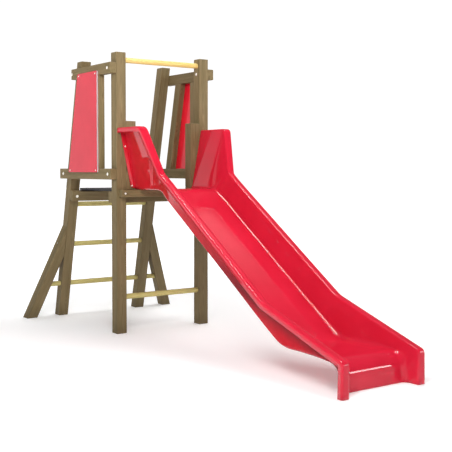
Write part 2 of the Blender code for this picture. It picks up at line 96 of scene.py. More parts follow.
SCREW_TIP = ((0.0012, 0.0), (0.0025, 0.004))
SCREW_SIDES = 24
CURVED = math.radians(50)         # a fastener's edges sharper than this stay sharp

# ---------------------------------------------------------------- sizes of the slide
# Its points are (y, z), with y from the front posts' front face and z from the ground. A reach is
# the distance from a corner at which its rounding starts.
GAP = 0.0003                      # clearance to the timber
SHELL = 0.010                     # thickness of the moulding
SLIDE_REACH = front_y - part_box("slide")[0][1]
FOOT_Z = 2 * GAP

RIM_SLOPE = math.radians(33.2)
RUNOUT_SLOPE = math.radians(18.22)
WING_SLOPE = math.radians(65.8)
WING_TOP = 1.883
WING_EDGE = (-0.562, 1.506)       # a point of the wings' front edge
RIM_KINK = (-2.012, 0.532)        # where the rim's slope changes
LIP = 0.046                       # how far the lip hangs below the rim
RIM_REACHES = (0.042, 0.018, 0.034, 0.029)
LIP_REACHES = (0.012, 0.030, 0.034, 0.010)

ENTRY_Z = DECK_TOP + SHELL + 4 * GAP
ENTRY_BEND_Y = -0.270
ENTRY_BEND_REACH = 0.030
ENTRY_REACH = 0.060
BED_DEPTH = 0.204                 # below the rim, square to its slope
BED_RUNOUT_Z = 0.215
BED_FOOT_REACH = 0.075
APRON_Y = -2.758
NOSE_RADIUS = 0.130

RIM_HALF = 0.328                  # half the width between the walls' tops
WING_FLARE_Z = 1.433
WING_FLARE = 0.187                # widening for each metre above that height
LOW_RIM_Z = 0.250
LOW_RIM_TAPER = 0.016             # narrowing for each metre below that height
FLANGE = 0.065
FLANGE_FLARE_Z = 1.463
FLANGE_FLARE = 0.033
LOW_FLANGE_FLARE = 0.036
WALL_LEAN = 0.15                  # inward lean of the walls for each metre down
WALL_HEIGHT = 0.240
ENTRY_LIMIT = (-0.5, 1.0)         # the entry lies behind and above these
ENTRY_INSET = 0.036               # how much narrower the entry's bed is than the rim
ENTRY_SPREAD = 0.016              # its widening towards the deck
ENTRY_LENGTH = 0.45

BED_SHARES = (0.3, 0.6)           # the bed's rows between its middle and its corner
BED_FILLET = 0.022
RUNOUT_FILLET = 0.050
RUNOUT_BLEND_Y = -1.90            # where the fillet and edges start to grow to the run-out's
RUNOUT_BLEND = 0.25
INNER_EDGE = 0.015
INNER_EDGE_GROWTH = 0.004
OUTER_EDGE = 0.013
BACK_FLANGE_LOW = 0.046           # width of the flange behind the wings, beside the bed's corner
BACK_FLANGE_HIGH = 0.056          # the same at the rim
BACK_FLANGE_BEND = ((0.0, -0.014), (0.015, -0.009), (0.06, -0.0045), (0.13, -0.0016),
                    (0.22, -2 * GAP), (1.0, -GAP))

LEG_POINTS = (3, 5, 14, 9, 4)     # points along each straight of the slide's path
ARC_POINTS = 10
SECTION_POINTS = (9, 6, 6)        # points round the bed's corner, the inner edge and the outer edge

# ---------------------------------------------------------------- light and camera levels
FLOOR_HALF = 60.0
FLOOR_DROP = 0.0005
FLOOR_TONE = 0.90
FLOOR_GLOW = 0.22
GLOW_REACH = (2.2, 7.5)           # the floor's glow grows to full between these distances

WALL_LIGHT = 1.06
CEILING_LIGHT = 0.12
CEILING_EDGE = (0.215, 0.40)      # heights on the sky between which the walls turn into the ceiling
BOX_LIGHT = 1.1
BOX_SLANT = (0.782, 0.622)        # direction across the softbox, on a ceiling 1 above the object
BOX_NEAR = (0.20, 0.35)           # its soft edges, each from one side of the edge to the other
BOX_FAR = (0.365, 0.375)
BOX_LEFT = (-1.01, -0.99)
BOX_RIGHT = (0.787, 0.807)
BOX_FOOT = (0.3, 0.4)             # heights on the sky between which it fades in
LEAST_HEIGHT = 0.02               # keeps the ceiling's far points finite

OVERHEAD_WATTS = 445.0
FRONT_WATTS = 185.0
LEFT_WATTS = 18.0
STRIP_LIGHT = 58.0                # radiance of the strip that the bed's corner mirrors
STRIP_DISTANCE = 18.0             # from the chute's middle
STRIP_DIRECTION = (-0.02, 0.06, 1.0)
NOSE_LIGHT = 18.0                 # radiance of the strip that the nose mirrors
NOSE_STRIP_DISTANCE = 12.0
NOSE_STRIP_DIRECTION = (0.69, -0.65, 0.32)

IMAGE = 452                       # the photograph's width and height in pixels
FOCAL = 874.99                    # the camera's focal length in those pixels
CENTRE = (224.76, 212.15)         # the image point straight ahead of the camera
SENSOR = 36.0
CAMERA_PLACE = (-4.2758, -7.0427, 1.5085)   # with y from the front posts' face
CAMERA_ANGLES = (35.2411, 2.8109, 0.0757)   # yaw, pitch and roll in degrees


# ---------------------------------------------------------------- meshes
def piece(name, mesh, material, slot, *nodes):
    """Make a bmesh a piece of the model that stands for CAD nodes."""
    bmesh.ops.recalc_face_normals(mesh, faces=mesh.faces)
    data = bpy.data.meshes.new(name)
    mesh.to_mesh(data)
    mesh.free()
    data.materials.append(material)
    made = bpy.data.objects.new(name, data)
    bpy.context.scene.collection.objects.link(made)
    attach(made, "root")
    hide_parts(*nodes)
    return made


def smooth(made, angle=math.radians(35)):
    """Shade smooth, keeping edges over the angle sharp."""
    made.data.shade_smooth()
    mesh = bmesh.new()
    mesh.from_mesh(made.data)
    for edge in mesh.edges:
        edge.smooth = len(edge.link_faces) == 2 and edge.calc_face_angle() < angle
    mesh.to_mesh(made.data)
    mesh.free()


def hull_of(node):
    """The clean convex solid of a straight CAD piece, without its bores."""
    mesh = bmesh.new()
    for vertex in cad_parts[node].data.vertices:
        mesh.verts.new(vertex.co)
    found = bmesh.ops.convex_hull(mesh, input=mesh.verts)
    spare = {item for key in ("geom_interior", "geom_unused") for item in found[key]}
    inner = [item for item in spare if isinstance(item, bmesh.types.BMVert)]
    bmesh.ops.delete(mesh, geom=inner, context="VERTS")
    bmesh.ops.dissolve_limit(mesh, angle_limit=math.radians(1), verts=mesh.verts, edges=mesh.edges)
    return mesh


def eased(made, width, segments=3, angle=math.radians(30)):
    """Round the edges of a piece that are sharper than the angle."""
    bevel = made.modifiers.new("eased_edges", "BEVEL")
    bevel.width = width
    bevel.segments = segments
    bevel.limit_method = "ANGLE"
    bevel.angle_limit = angle
    bevel.harden_normals = True
    made.data.shade_smooth()


def turned(mesh, base, axis, profile, sides):
    """Add a closed turned solid; the profile lists (radius, height) from its base upwards."""
    turn = Vector(axis).to_track_quat("Z", "Y").to_matrix()
    rings = []
    for radius, height in profile:
        ring = []
        for index in range(sides):
            angle = 2 * math.pi * index / sides
            point = Vector((radius * math.cos(angle), radius * math.sin(angle), height))
            ring.append(mesh.verts.new(Vector(base) + turn @ point))
        rings.append(ring)
    mesh.faces.new(rings[0][::-1])
    mesh.faces.new(rings[-1])
    for lower, upper in zip(rings, rings[1:]):
        for index in range(sides):
            after = (index + 1) % sides
            mesh.faces.new((lower[index], lower[after], upper[after], upper[index]))


def centre_of(node):
    """The middle of a CAD node's box."""
    low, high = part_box(node)
    return (Vector(low) + Vector(high)) / 2


# ---------------------------------------------------------------- shader nodes
class Nodes:
    """Short ways to add shader nodes to a tree."""

    def __init__(self, tree):
        self.tree = tree

    def put(self, socket, value):
        """Link another node's output to a socket, or set the socket to a plain value."""
        if isinstance(value, bpy.types.NodeSocket):
            self.tree.links.new(value, socket)
        else:
            socket.default_value = value

    def node(self, kind, inputs=(), **settings):
        made = self.tree.nodes.new("ShaderNode" + kind)
        for key, value in settings.items():
            setattr(made, key, value)
        for key, value in dict(inputs).items():
            self.put(made.inputs[key], value)
        return made

    def math(self, operation, first, second=0.0):
        return self.node("Math", {0: first, 1: second}, operation=operation).outputs[0]

    def between(self, value, low, high, start=0.0, end=1.0):
        """Smooth step from start to end while a value goes from low to high."""
        inputs = {"Value": value, "From Min": low, "From Max": high, "To Min": start, "To Max": end}
        return self.node("MapRange", inputs, interpolation_type="SMOOTHSTEP").outputs["Result"]

    def noise(self, vector, scale, detail=3.0, roughness=0.55):
        inputs = {"Vector": vector, "Scale": scale, "Detail": detail, "Roughness": roughness}
        return self.node("TexNoise", inputs).outputs["Fac"]

    def spread(self, noise, start=0.0, end=1.0):
        """Go from start to end over the middle of a noise's range."""
        return self.between(noise, 0.3, 0.7, start, end)

    def stretch(self, vector, scale, offset=(0.0, 0.0, 0.0)):
        inputs = {"Vector": vector, "Scale": scale, "Location": offset}
        return self.node("Mapping", inputs).outputs["Vector"]

    def axes(self, vector):
        return self.node("SeparateXYZ", {"Vector": vector}).outputs

    def mix(self, share, first, second):
        """Mix two colours."""
        made = self.node("Mix", data_type="RGBA")
        for index, value in ((0, share), (6, first), (7, second)):
            self.put(made.inputs[index], value)
        return made.outputs[2]

    def bump(self, height, distance, strength, normal=None):
        inputs = {"Height": height, "Distance": distance, "Strength": strength}
        if normal is not None:
            inputs["Normal"] = normal
        return self.node("Bump", inputs).outputs["Normal"]


class Shade(Nodes):
    """A material built round one Principled shader, with the place on the object as its spot."""

    def __init__(self, name):
        self.material = bpy.data.materials.new(name)
        self.material.use_nodes = True
        super().__init__(self.material.node_tree)
        self.shader = self.tree.nodes["Principled BSDF"]
        self.spot = self.node("TexCoord").outputs["Object"]

    def set(self, **values):
        for key, value in values.items():
            self.put(self.shader.inputs[key.replace("_", " ")], value)


def rgb(red, green, blue):
    """An sRGB colour, 0 to 255, as linear light."""
    return (*(((c / 255 + 0.055) / 1.055) ** 2.4 for c in (red, green, blue)), 1.0)


# ---------------------------------------------------------------- colours
WHITE = (1.0, 1.0, 1.0, 1.0)
# Timber: light, middle, dark and heart tones.
PINE = (rgb(143, 124, 89), rgb(122, 106, 72), rgb(80, 68, 43), rgb(110, 99, 61))
PALE = (rgb(240, 214, 140), rgb(228, 198, 120), rgb(186, 150, 76), rgb(236, 206, 132))
OLIVE = (rgb(200, 188, 123), rgb(187, 174, 107), rgb(142, 127, 69), rgb(195, 184, 118))
# Everything else: the tones that a surface drifts between.
MOULDING_TONES = (rgb(200, 29, 52), rgb(207, 33, 57))
BACK_TONES = (rgb(186, 16, 34), rgb(196, 19, 38))
# Painted shade on the slide's outer wall, just under the run-out's lip.
UNDER_LIP_SHADE = rgb(98, 14, 26)
# The right panel's are brighter, because the photograph shows it lit much more strongly.
PANEL_TONES = {
    "left": (rgb(206, 28, 52), rgb(214, 32, 57)),
    "right": (rgb(242, 28, 52), rgb(250, 32, 57)),
}
CORE_TONES = (rgb(196, 188, 190), rgb(176, 168, 172))
DECK_TONES = (rgb(62, 61, 64), rgb(80, 78, 79))
NET = rgb(92, 90, 90)
CAP_TONES = (rgb(238, 234, 226), rgb(226, 220, 208))
ZINC_TONES = (rgb(186, 186, 182), rgb(160, 160, 158))

# ---------------------------------------------------------------- materials
# Cells per metre of the timber's patterns, twice across the grain and once along it.
KNOT_CELLS = (7.0, 7.0, 2.3)
KNOT_SHIFT = (0.37, 0.61, 0.23)   # how the seed moves the knots
DRIFT_CELLS = (3.0, 3.0, 1.1)
FIBRE_CELLS = (420.0, 420.0, 9.0)
STREAK_CELLS = (26.0, 26.0, 1.6)
BROAD_CELLS = (6.0, 6.0, 1.3)
RING_DRIFT = 0.055                # how far the growth rings wander
RING_BULGE = 0.012                # how far they bulge round a knot
RING = 0.0042                     # width of a growth ring
BAR_RING = 0.003
KNOTS = 0.055                     # size of the knots, as a part of their cells
BAR_KNOTS = 0.03
KNOT_EDGE = 0.045
RING_SHARE = 0.38                 # the most that each pattern mixes in of its tone
FIBRE_SHARE = 0.30
HEART_SHARE = 0.45
KNOT_SHARE = 0.85
PAINTED_SHADE_SHARE = 0.34
DAMP_SHARE = 0.5
PAINTED_SHADE_HEIGHTS = (1.0, 1.7)        # timber's painted shade, darker lower down, fades out between these heights
DAMP_HEIGHT = 0.16                # its damp foot fades out at this one
SKIN = (0.0068, 0.0074)           # distance from a panel's middle at which its core turns into skin
RUB_CELLS = (120.0, 3.0, 3.0)
LIP_SHADE_BELOW_RIM = (0.05, 0.20)    # painted shade under the lip fades out between these distances below the rim's line
LIP_SHADE_HEIGHTS = (0.5, 1.0)        # and between these heights
WING_GLOSS_HEIGHTS = (1.12, 1.34)


def wood(name, turn, centre, seed, tones, ring=RING, knots=KNOTS, ground=True):
    """Sawn timber: growth rings round a pith, fibres along it, knots, painted shade lower down, and
    damp at the foot.
    """
    draw = random.Random(seed)
    made = Shade(name)
    inverse = turn.inverted()
    pith = Vector((draw.uniform(-0.02, 0.02), draw.uniform(0.05, 0.09), draw.uniform(0, 9)))
    place = pith - inverse @ Vector(centre)
    along = {"Vector": made.spot, "Rotation": inverse.to_euler(), "Location": place}
    grain = made.node("Mapping", along).outputs["Vector"]

    knot_spot = made.stretch(grain, KNOT_CELLS, tuple(seed * shift for shift in KNOT_SHIFT))
    cells = {"Vector": knot_spot, "Scale": 1.0, "Randomness": 1.0}
    knot = made.node("TexVoronoi", cells, feature="F1").outputs["Distance"]
    near_knot = made.between(knot, 0.10, 0.42, 1.0, 0.0)
    in_knot = made.between(knot, knots, knots + KNOT_EDGE, 1.0, 0.0)

    drift = made.noise(made.stretch(grain, DRIFT_CELLS), 1.0, 2.0)
    axes = made.axes(grain)
    across = made.math("MULTIPLY", axes["X"], axes["X"])
    depth = made.math("MULTIPLY", axes["Y"], axes["Y"])
    radius = made.math("SQRT", made.math("ADD", across, depth))
    radius = made.math("ADD", radius, made.math("MULTIPLY", drift, RING_DRIFT))
    radius = made.math("ADD", radius, made.math("MULTIPLY", near_knot, RING_BULGE))
    wave = made.math("SINE", made.math("MULTIPLY", radius, 2 * math.pi / ring))
    rings = made.between(wave, -0.6, 1.0)

    fibres = made.noise(made.stretch(grain, FIBRE_CELLS), 1.0, 2.0, 0.6)
    streaks = made.noise(made.stretch(grain, STREAK_CELLS), 1.0, 3.0, 0.6)
    broad = made.noise(made.stretch(grain, BROAD_CELLS, (seed, 0.0, 0.0)), 1.0, 2.0)

    light, middle, dark, heart = tones
    colour = made.mix(made.spread(streaks), light, middle)
    colour = made.mix(made.math("MULTIPLY", rings, RING_SHARE), colour, dark)
    colour = made.mix(made.between(fibres, 0.45, 0.75, 0.0, FIBRE_SHARE), colour, dark)
    colour = made.mix(made.between(broad, 0.5, 0.75, 0.0, HEART_SHARE), colour, heart)
    colour = made.mix(made.math("MULTIPLY", in_knot, KNOT_SHARE), colour, dark)
    if ground:
        height = made.axes(made.spot)["Z"]
        # Painted shade: darker lower down, at full strength below the lower height and gone above
        # the upper.
        colour = made.mix(made.between(height, *PAINTED_SHADE_HEIGHTS, PAINTED_SHADE_SHARE, 0.0), colour, dark)
        foot = made.between(height, 0.0, DAMP_HEIGHT, DAMP_SHARE, 0.0)
        damp = made.math("MULTIPLY", foot, made.between(streaks, 0.2, 0.7, 0.6, 1.0))
        colour = made.mix(damp, colour, dark)
    made.set(Base_Color=colour, Roughness=made.spread(fibres, 0.62, 0.78))
    made.set(Specular_IOR_Level=0.32)
    hollows = made.math("MULTIPLY", rings, 0.4)
    relief = made.math("SUBTRACT", made.math("MULTIPLY", fibres, 0.6), hollows)
    made.set(Normal=made.bump(relief, 0.0006, 0.55))
    return made.material


def red_gloss():
    """The moulding's inner side: glossy, a little wavy, with faint rubbing along the chute."""
    made = Shade("glossy_red_moulding")
    cloud = made.noise(made.spot, 3.5, 3.0)
    rub = made.noise(made.stretch(made.spot, RUB_CELLS), 1.0, 3.0, 0.6)
    speck = made.noise(made.spot, 500.0, 1.0)
    made.set(Base_Color=made.mix(made.spread(cloud), *MOULDING_TONES))
    made.set(Roughness=made.between(rub, 0.35, 0.75, 0.03, 0.06), Specular_IOR_Level=0.3)
    waves = made.bump(made.noise(made.spot, 5.0, 1.0), 0.0004, 0.1)
    made.set(Normal=made.bump(speck, 0.00002, 0.2, waves))
    return made.material


def red_back():
    """The moulding's outer side: mottled, glossy at the wings, with painted shade under the
    run-out's lip.
    """
    made = Shade("moulding_back")
    cloud = made.noise(made.spot, 16.0, 4.0, 0.6)
    grit = made.noise(made.spot, 240.0, 3.0, 0.6)
    axes = made.axes(made.spot)
    beyond = made.math("SUBTRACT", axes["Y"], front_y + RIM_KINK[0])
    rim = made.math("ADD", made.math("MULTIPLY", beyond, math.tan(RUNOUT_SLOPE)), RIM_KINK[1])
    below = made.math("SUBTRACT", rim, axes["Z"])
    # Painted shade: darkest just under the run-out's lip, and only low down.
    lip_shade = made.math("MULTIPLY", made.between(below, *LIP_SHADE_BELOW_RIM, 0.9, 0.0),
                      made.between(axes["Z"], *LIP_SHADE_HEIGHTS, 1.0, 0.0))
    colour = made.mix(made.spread(cloud), *BACK_TONES)
    made.set(Base_Color=made.mix(lip_shade, colour, UNDER_LIP_SHADE))
    made.set(Roughness=made.spread(grit, 0.04, 0.07))
    made.set(Specular_IOR_Level=made.between(axes["Z"], *WING_GLOSS_HEIGHTS, 0.07, 0.60))
    made.set(Normal=made.bump(grit, 0.00004, 0.3))
    return made.material


def laminate(name, middle, tones):
    """Board across x = middle, with thin coloured skins over a pale core."""
    made = Shade(name)
    out = made.math("ABSOLUTE", made.math("SUBTRACT", made.axes(made.spot)["X"], middle))
    grit = made.noise(made.spot, 700.0, 2.0, 0.6)
    cloud = made.noise(made.spot, 4.0, 3.0)
    skin = made.mix(made.spread(cloud), *tones)
    core = made.mix(made.between(grit, 0.35, 0.65), *CORE_TONES)
    made.set(Base_Color=made.mix(made.between(out, *SKIN), core, skin))
    made.set(Roughness=made.spread(grit, 0.14, 0.20))
    made.set(Specular_IOR_Level=0.34, Normal=made.bump(grit, 0.00005, 0.4))
    return made.material


def decking():
    """Dark film-faced board with a fine raised anti-slip net on top."""
    made = Shade("anti_slip_board")
    cells = {"Vector": made.spot, "Scale": 150.0, "Randomness": 0.15}
    net = made.node("TexVoronoi", cells, feature="DISTANCE_TO_EDGE").outputs["Distance"]
    ridge = made.between(net, 0.04, 0.16, 1.0, 0.0)
    cloud = made.noise(made.spot, 5.0, 4.0, 0.6)
    colour = made.mix(made.between(cloud, 0.35, 0.7), *DECK_TONES)
    made.set(Base_Color=made.mix(made.math("MULTIPLY", ridge, 0.35), colour, NET))
    made.set(Roughness=made.spread(cloud, 0.55, 0.70))
    made.set(Specular_IOR_Level=0.05, Normal=made.bump(ridge, 0.0005, 0.6))
    return made.material


def cap_plastic():
    """Off-white plastic of the bolt caps and screw heads, faintly soiled."""
    made = Shade("off_white_cap")
    cloud = made.noise(made.spot, 60.0, 3.0)
    grit = made.noise(made.spot, 1500.0, 2.0)
    made.set(Base_Color=made.mix(made.between(cloud, 0.35, 0.7), *CAP_TONES))
    made.set(Roughness=made.spread(grit, 0.34, 0.46))
    made.set(Normal=made.bump(grit, 0.00004, 0.4))
    return made.material


def zinc():
    """Zinc-plated steel with a fine uneven sheen."""
    made = Shade("zinc_plated_steel")
    grit = made.noise(made.spot, 800.0, 2.0)
    made.set(Base_Color=made.mix(grit, *ZINC_TONES), Metallic=1.0)
    made.set(Roughness=made.spread(grit, 0.28, 0.45))
    made.set(Normal=made.bump(grit, 0.00003, 0.4))
    return made.material


# ---------------------------------------------------------------- timber, panels and platform
UPRIGHT = Matrix.Identity(3)
LEANING = Matrix.Rotation(LEAN, 3, "X")
ALONG_Y = Matrix.Rotation(math.pi / 2, 3, "X")
ALONG_X = Matrix.Rotation(math.pi / 2, 3, "Y")
TIMBERS = {
    "front_post": UPRIGHT, "slide_post": UPRIGHT, "front_slat": UPRIGHT,
    "rear_post": LEANING, "rear_slat": LEANING,
    "top_rail": ALONG_Y, "lower_rail": ALONG_Y,
}
BEAMS = ("front_cross_beam", "rear_cross_beam", "slide_support_beam")
SIDES = (("left", -1), ("right", 1))


def timber(node, turn, seed):
    """A straight sawn piece with eased edges, whose grain runs along the turned Z axis."""
    material = wood(node + "_pine", turn, centre_of(node), seed, PINE)
    eased(piece(node + "_timber", hull_of(node), material, "impregnated_pine", node), TIMBER_EASE)


seeds = itertools.count(11)
for side, sign in SIDES:
    for kind, turn in TIMBERS.items():
        timber(f"{kind}_{side}", turn, next(seeds))
    splay = Matrix.Rotation(-sign * PROP_SPLAY, 3, "Y")
    timber("prop_leg_" + side, LEANING @ splay, next(seeds))
for node in BEAMS:
    timber(node, ALONG_X, next(seeds))

for side, _ in SIDES:
    node = "side_panel_" + side
    board = laminate("red_laminate_" + side, centre_of(node).x, PANEL_TONES[side])
    eased(piece(node + "_board", hull_of(node), board, "red_panel", node), PANEL_EASE, 2)
eased(piece("platform_board", hull_of("deck"), decking(), "dark_deck", "deck"), DECK_EASE, 2)


# ---------------------------------------------------------------- bars
def bar(node, tones, seed):
    """A turned bar, very slightly uneven along its length."""
    low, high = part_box(node)
    middle = centre_of(node)
    length = high[0] - low[0]
    draw = random.Random(seed)
    profile = [(BAR_RADIUS - BAR_CHAMFER, 0.0)]
    for step in range(BAR_STEPS + 1):
        radius = BAR_RADIUS - draw.uniform(0.0, BAR_UNEVEN)
        profile.append((radius, BAR_CHAMFER + (length - 2 * BAR_CHAMFER) * step / BAR_STEPS))
    profile.append((BAR_RADIUS - BAR_CHAMFER, length))
    mesh = bmesh.new()
    turned(mesh, (low[0], middle.y, middle.z), (1, 0, 0), profile, BAR_SIDES)
    material = wood(node + "_wood", ALONG_X, middle, seed, tones, BAR_RING, BAR_KNOTS, ground=False)
    smooth(piece(node + "_turned", mesh, material, "pale_round_bar", node))


bar("top_bar", PALE, 71)
bar("low_front_bar", OLIVE, 72)
bar("ladder_rung_top", OLIVE, 73)
bar("ladder_rung_middle", OLIVE, 74)
bar("ladder_rung_bottom", OLIVE, 75)

# ---------------------------------------------------------------- fasteners
cap_finish = cap_plastic()
steel_finish = zinc()


def axis_of(node, guess):
    """Start and end of a CAD fastener along a known direction."""
    points = [v.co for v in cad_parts[node].data.vertices]
    direction = Vector(guess).normalized()
    shares = [p.dot(direction) for p in points]
    ends = []
    for share in (min(shares), max(shares)):
        ring = [p for p, s in zip(points, shares) if abs(s - share) < END_RING]
        ends.append(sum(ring, Vector()) / len(ring))
    return ends


def bolt(node, direction):
    """A bolt with a domed cap wherever its CAD solid has one."""
    start, end = axis_of(node, direction)
    axis = (end - start).normalized()
    length = (end - start).length
    points = [v.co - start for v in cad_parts[node].data.vertices]
    away = [(p.dot(axis), (p - axis * p.dot(axis)).length) for p in points]
    mesh = bmesh.new()
    insets = []
    for tip, outward, place in ((start, -axis, 0.0), (end, axis, length)):
        width = max(radius for along, radius in away if abs(along - place) < CAP_ZONE)
        capped = width > CAP_LEAST
        insets.append(BOLT_INSET if capped else 0.0)
        if capped:
            profile = [(radius * width / CAP_RADIUS, height) for radius, height in CAP_PROFILE]
            turned(mesh, tip - outward * CAP_HEIGHT, outward, profile, CAP_SIDES)
    shank = length - insets[0] - insets[1]
    profile = ((BOLT_RADIUS, 0.0), (BOLT_RADIUS, shank))
    turned(mesh, start + axis * insets[0], axis, profile, BOLT_SIDES)
    smooth(piece(node + "_capped", mesh, cap_finish, "pale_cap", node), CURVED)


def screw(node, direction, finish, slot):
    """A domed screw head with a small round recess, and its shank."""
    start, end = axis_of(node, direction)
    axis = (end - start).normalized()
    length = (end - start).length - HEAD_HEIGHT
    profile = [*SCREW_TIP, *((radius, length + rise) for radius, rise in HEAD_PROFILE)]
    mesh = bmesh.new()
    turned(mesh, start, axis, profile, SCREW_SIDES)
    smooth(piece(node + "_domed", mesh, finish, slot, node), CURVED)


REAR_FACE = Vector((0.0, -math.cos(LEAN), -math.sin(LEAN)))   # forwards, square to the rear posts
PROP_RISE = math.tan(PROP_SPLAY) * math.cos(LEAN)
for side, sign in SIDES:
    for level in ("top", "lower"):
        for post in ("front", "rear"):
            bolt(f"{level}_rail_bolt_{post}_{side}", (sign, 0, 0))
    bolt("front_beam_bolt_" + side, (0, -1, 0))
    bolt("rear_beam_bolt_" + side, REAR_FACE)
    for spot in ("top_front", "top_rear", "low_front", "low_rear"):
        screw(f"panel_screw_{spot}_{side}", (sign, 0, 0), cap_finish, "pale_cap")
    for spot in ("high", "low"):
        screw(f"slide_screw_{spot}_{side}", (0, -1, 0), cap_finish, "pale_cap")
    for spot in ("front", "rear"):
        screw(f"deck_screw_{spot}_{side}", (0, 0, 1), steel_finish, "zinc_steel")
    outward = (sign, -PROP_RISE * math.sin(LEAN), PROP_RISE * math.cos(LEAN))
    screw("prop_screw_" + side, outward, steel_finish, "zinc_steel")


# ---------------------------------------------------------------- slide
def arc(start, corner, end, count):
    """Points of the circular arc between two points that leaves them towards a corner."""
    turn = (corner - start).angle(end - corner, 0.0)
    weight = math.cos(turn / 2)
    points = []
    for index in range(count):
        t = index / (count - 1)
        parts = ((1 - t) ** 2, 2 * weight * t * (1 - t), t ** 2)
        points.append((start * parts[0] + corner * parts[1] + end * parts[2]) / sum(parts))
    return points


def rounded(before, corner, after, radius, count):
    """Points of the arc of a radius that rounds a corner."""
    to_before = (before - corner).normalized()
    to_after = (after - corner).normalized()
    turn = math.pi - to_before.angle(to_after)
    reach = radius * math.tan(turn / 2)
    return arc(corner + to_before * reach, corner, corner + to_after * reach, count)


def path(start, corners, end):
    """Points along a line through rounded corners, each a (y, z, reach)."""
    stops = [Vector((0.0, y, z)) for y, z, *_ in (start, *corners, end)]
    points = stops[:1]
    for index, (_, _, reach) in enumerate(corners):
        corner = stops[index + 1]
        first = corner + (stops[index] - corner).normalized() * reach
        last = corner + (stops[index + 2] - corner).normalized() * reach
        begin = points[-1]
        count = LEG_POINTS[index]
        points += [begin.lerp(first, (n + 1) / (count + 1)) for n in range(count)]
        points += arc(first, corner, last, ARC_POINTS)
    begin = points[-1]
    count = LEG_POINTS[-1] + 1
    points += [begin.lerp(stops[-1], (n + 1) / count) for n in range(count)]
    return points


def meet(point_a, slope_a, point_b, slope_b):
    """Where two lines cross, each given by a point and a slope."""
    rise_a = math.tan(slope_a)
    rise_b = math.tan(slope_b)
    y = (point_b[1] - point_a[1] + rise_a * point_a[0] - rise_b * point_b[0]) / (rise_a - rise_b)
    return y, point_a[1] + rise_a * (y - point_a[0])


def beside(point, slope, distance):
    """A point moved square to a slope, down and outwards."""
    return point[0] + distance * math.sin(slope), point[1] - distance * math.cos(slope)


def rim_path(drop, reaches):
    """The rim's line along the slide, or a line inside it by a drop."""
    top = WING_TOP - drop
    front = -SLIDE_REACH + drop
    wing = beside(WING_EDGE, WING_SLOPE, drop)
    steep = beside(RIM_KINK, RIM_SLOPE, drop)
    shallow = beside(RIM_KINK, RUNOUT_SLOPE, drop)
    level_cut = ((top - wing[1]) / math.tan(WING_SLOPE) + wing[0], top)
    exit_cut = (front, shallow[1] + (front - shallow[0]) * math.tan(RUNOUT_SLOPE))
    places = (level_cut, meet(wing, WING_SLOPE, steep, RIM_SLOPE),
              meet(steep, RIM_SLOPE, shallow, RUNOUT_SLOPE), exit_cut)
    corners = [(*place, reach) for place, reach in zip(places, reaches)]
    return path((-GAP, top), corners, (front, FOOT_Z))


def bed_path():
    """The bed's line along the slide."""
    steep = beside(RIM_KINK, RIM_SLOPE, BED_DEPTH)
    rise = math.tan(RIM_SLOPE)
    entry_y = (ENTRY_Z - steep[1]) / rise + steep[0]
    foot_y = (BED_RUNOUT_Z - steep[1]) / rise + steep[0]
    corners = ((ENTRY_BEND_Y, ENTRY_Z, ENTRY_BEND_REACH), (entry_y, ENTRY_Z, ENTRY_REACH),
               (foot_y, BED_RUNOUT_Z, BED_FOOT_REACH), (APRON_Y, BED_RUNOUT_Z, NOSE_RADIUS))
    return path((-GAP, ENTRY_Z), corners, (APRON_Y, FOOT_Z))


def rim_half(z):
    """Half the width between the walls' tops, at a height of the rim."""
    low = max(0.0, LOW_RIM_Z - z) * LOW_RIM_TAPER
    return RIM_HALF + max(0.0, z - WING_FLARE_Z) * WING_FLARE - low


def flange_width(z):
    """Width of the rim's flange, at a height of the rim."""
    low = max(0.0, LOW_RIM_Z - z) * LOW_FLANGE_FLARE
    return FLANGE + max(0.0, z - FLANGE_FLARE_Z) * FLANGE_FLARE + low


def bed_half(bed, rim):
    """Half the bed's width, at a point of the bed and the rim's point beside it."""
    if bed.y > ENTRY_LIMIT[0] and bed.z > ENTRY_LIMIT[1]:
        return RIM_HALF - ENTRY_INSET + ENTRY_SPREAD * (1 + bed.y / ENTRY_LENGTH)
    height = max(0.0, rim.z - bed.z)
    return rim_half(rim.z) - WALL_LEAN * min(height, WALL_HEIGHT)


def section(bed, rim, lip):
    """Half a cross-section, from the bed's middle up the wall and over the flange to the lip."""
    half = rim_half(rim.z)
    outer = half + flange_width(rim.z)
    share = min(1.0, max(0.0, (RUNOUT_BLEND_Y - bed.y) / RUNOUT_BLEND))
    fillet = BED_FILLET + (RUNOUT_FILLET - BED_FILLET) * share
    edge = INNER_EDGE + INNER_EDGE_GROWTH * share
    middle = Vector((0.0, bed.y, bed.z))
    corner = Vector((bed_half(bed, rim), bed.y, bed.z))
    inner_edge = Vector((half, rim.y, rim.z))
    outer_edge = Vector((outer, rim.y, rim.z))
    end = Vector((outer, lip.y, lip.z))
    points = [middle] + [middle.lerp(corner, part) for part in BED_SHARES]
    points += rounded(middle, corner, inner_edge, fillet, SECTION_POINTS[0])
    points += rounded(corner, inner_edge, outer_edge, edge, SECTION_POINTS[1])
    points += rounded(inner_edge, outer_edge, end, OUTER_EDGE, SECTION_POINTS[2])
    return points + [end]


def back_flange(row):
    """Rows that bend a wall outwards, flat against the timber; its bed and lip stay as they are."""
    fillet, edge, _ = SECTION_POINTS
    widths = [0.0] * (1 + len(BED_SHARES))
    widths += [BACK_FLANGE_LOW * index / (fillet - 1) for index in range(fillet)]
    widths += [BACK_FLANGE_HIGH * (1 - index / (edge - 1)) for index in range(edge)]
    widths += [0.0] * (len(row) - len(widths))
    rows = [[Vector((p.x + share * width, y, p.z)) for p, width in zip(row, widths)]
            for share, y in BACK_FLANGE_BEND]
    return rows[::-1]


